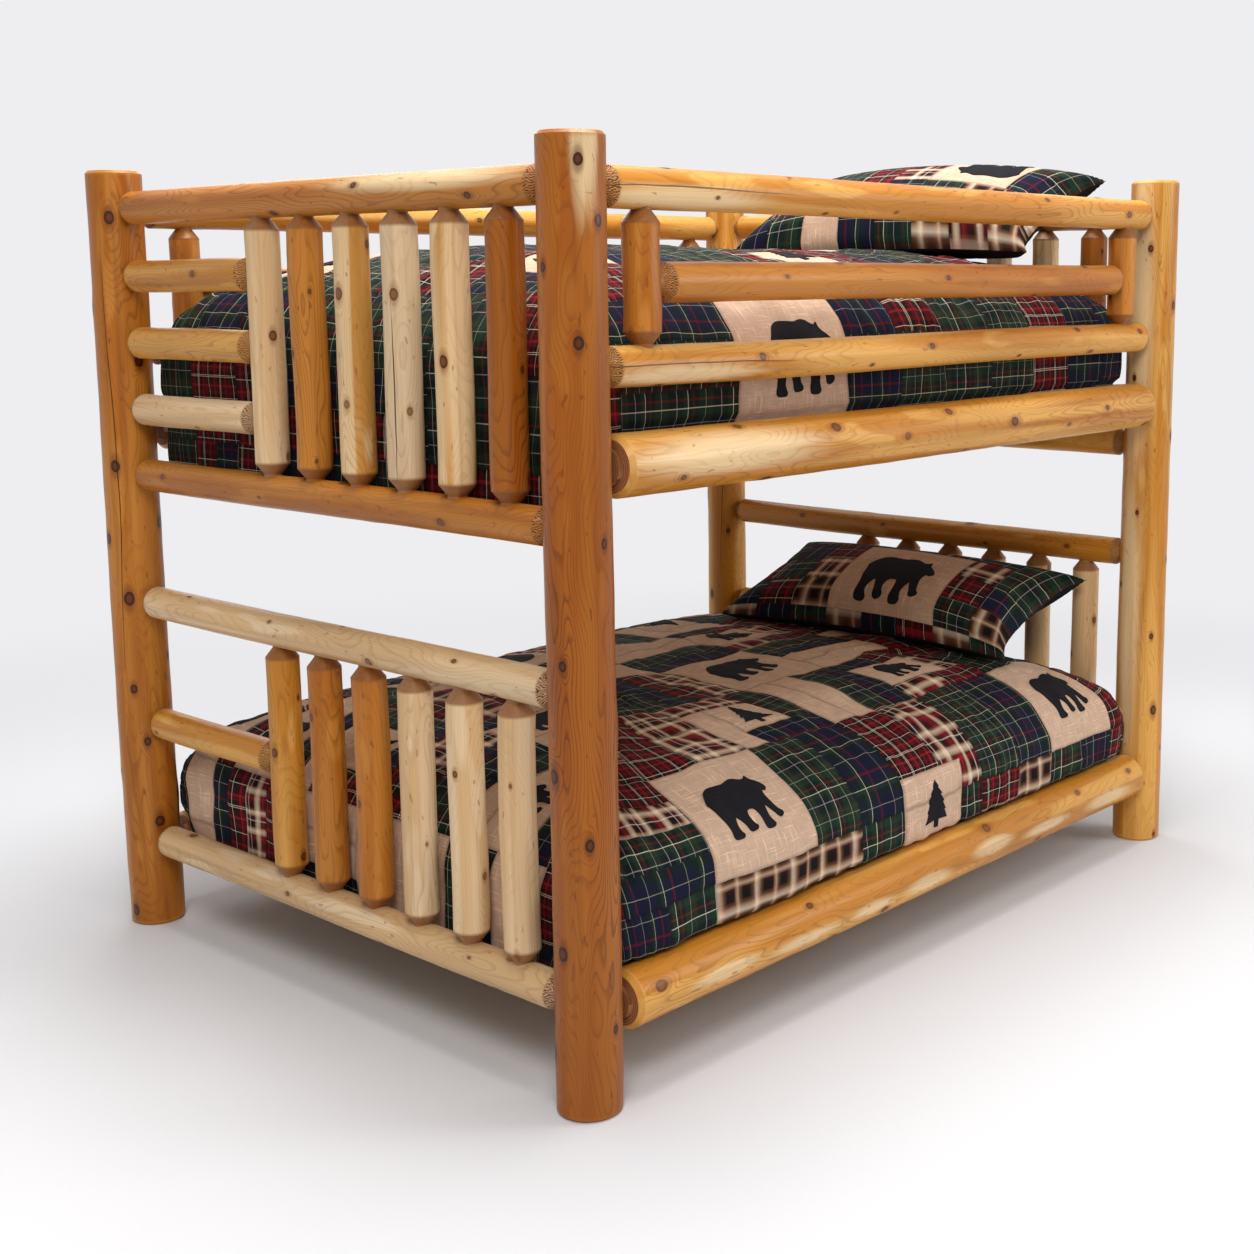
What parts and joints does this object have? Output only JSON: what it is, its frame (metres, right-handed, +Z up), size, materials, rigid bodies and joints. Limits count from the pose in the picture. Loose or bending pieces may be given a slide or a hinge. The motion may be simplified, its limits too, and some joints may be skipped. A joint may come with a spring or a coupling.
{
  "type": "log bunk bed",
  "caption": "Rustic bunk bed of peeled varnished logs with mortise and tenon joints, ladder bays in both ends, guard rails, quilted mattresses and pillows.",
  "frame": {"origin": "on the floor, in the middle of the bed", "axes": "+X from the foot to the head, +Y from the front to the ladder side at the back, +Z up"},
  "size_m": [2.1896, 1.6196, 1.7882],
  "materials": {
    "honey_log": "satin",
    "golden_log": "satin",
    "amber_log": "satin",
    "cream_log": "satin",
    "pale_log": "satin",
    "bunkie_board": "matte",
    "patchwork_quilt": "matte",
    "patchwork_sham": "matte"
  },
  "bodies": {
    "frame": {"back_guard_insert": "golden_log", "back_guard_lower_rail": "golden_log", "back_guard_top_rail": "golden_log", "back_lower_bed_rail": "golden_log", "back_upper_bed_rail": "golden_log", "foot_lower_bottom_rail": "cream_log", "foot_lower_rung": "golden_log", "foot_lower_spindle_1": "golden_log", "foot_lower_spindle_2": "golden_log", "foot_lower_spindle_3": "amber_log", "foot_lower_spindle_4": "pale_log", "foot_lower_spindle_5": "cream_log", "foot_lower_spindle_6": "cream_log", "foot_lower_top_rail": "cream_log", "foot_upper_bottom_rail": "golden_log", "foot_upper_rung_1": "golden_log", "foot_upper_rung_2": "golden_log", "foot_upper_rung_3": "cream_log", "foot_upper_spindle_1": "cream_log", "foot_upper_spindle_2": "golden_log", "foot_upper_spindle_3": "pale_log", "foot_upper_spindle_4": "cream_log", "foot_upper_spindle_5": "pale_log", "foot_upper_spindle_6": "amber_log", "foot_upper_top_rail": "golden_log", "front_guard_insert": "golden_log", "front_guard_lower_rail": "golden_log", "front_guard_top_rail": "golden_log", "front_lower_bed_rail": "golden_log", "front_upper_bed_rail": "golden_log", "head_lower_bottom_rail": "cream_log", "head_lower_rung": "golden_log", "head_lower_spindle_1": "golden_log", "head_lower_spindle_2": "golden_log", "head_lower_spindle_3": "amber_log", "head_lower_spindle_4": "pale_log", "head_lower_spindle_5": "cream_log", "head_lower_spindle_6": "cream_log", "head_lower_top_rail": "cream_log", "head_upper_bottom_rail": "golden_log", "head_upper_rung_1": "golden_log", "head_upper_rung_2": "golden_log", "head_upper_rung_3": "cream_log", "head_upper_spindle_1": "cream_log", "head_upper_spindle_2": "golden_log", "head_upper_spindle_3": "pale_log", "head_upper_spindle_4": "cream_log", "head_upper_spindle_5": "pale_log", "head_upper_spindle_6": "amber_log", "head_upper_top_rail": "golden_log", "lower_deck": "bunkie_board", "post_foot_back": "golden_log", "post_foot_front": "honey_log", "post_head_back": "golden_log", "post_head_front": "pale_log", "upper_deck": "bunkie_board"},
    "lower_mattress": {"lower_mattress": "patchwork_quilt"},
    "lower_pillow": {"lower_pillow": "patchwork_sham"},
    "upper_mattress": {"upper_mattress": "patchwork_quilt"},
    "upper_pillow": {"upper_pillow": "patchwork_sham"}
  },
  "joints": [
    {"name": "lower_mattress_lift", "type": "slide", "parent": "frame", "child": "lower_mattress", "axis": [0, 0, 1], "range_m": [0, 0.15]},
    {"name": "lower_pillow_lift", "type": "slide", "parent": "lower_mattress", "child": "lower_pillow", "axis": [0, 0, 1], "range_m": [0, 0.15]},
    {"name": "upper_mattress_lift", "type": "slide", "parent": "frame", "child": "upper_mattress", "axis": [0, 0, 1], "range_m": [0, 0.6]},
    {"name": "upper_pillow_lift", "type": "slide", "parent": "upper_mattress", "child": "upper_pillow", "axis": [0, 0, 1], "range_m": [0, 0.3]}
  ]
}
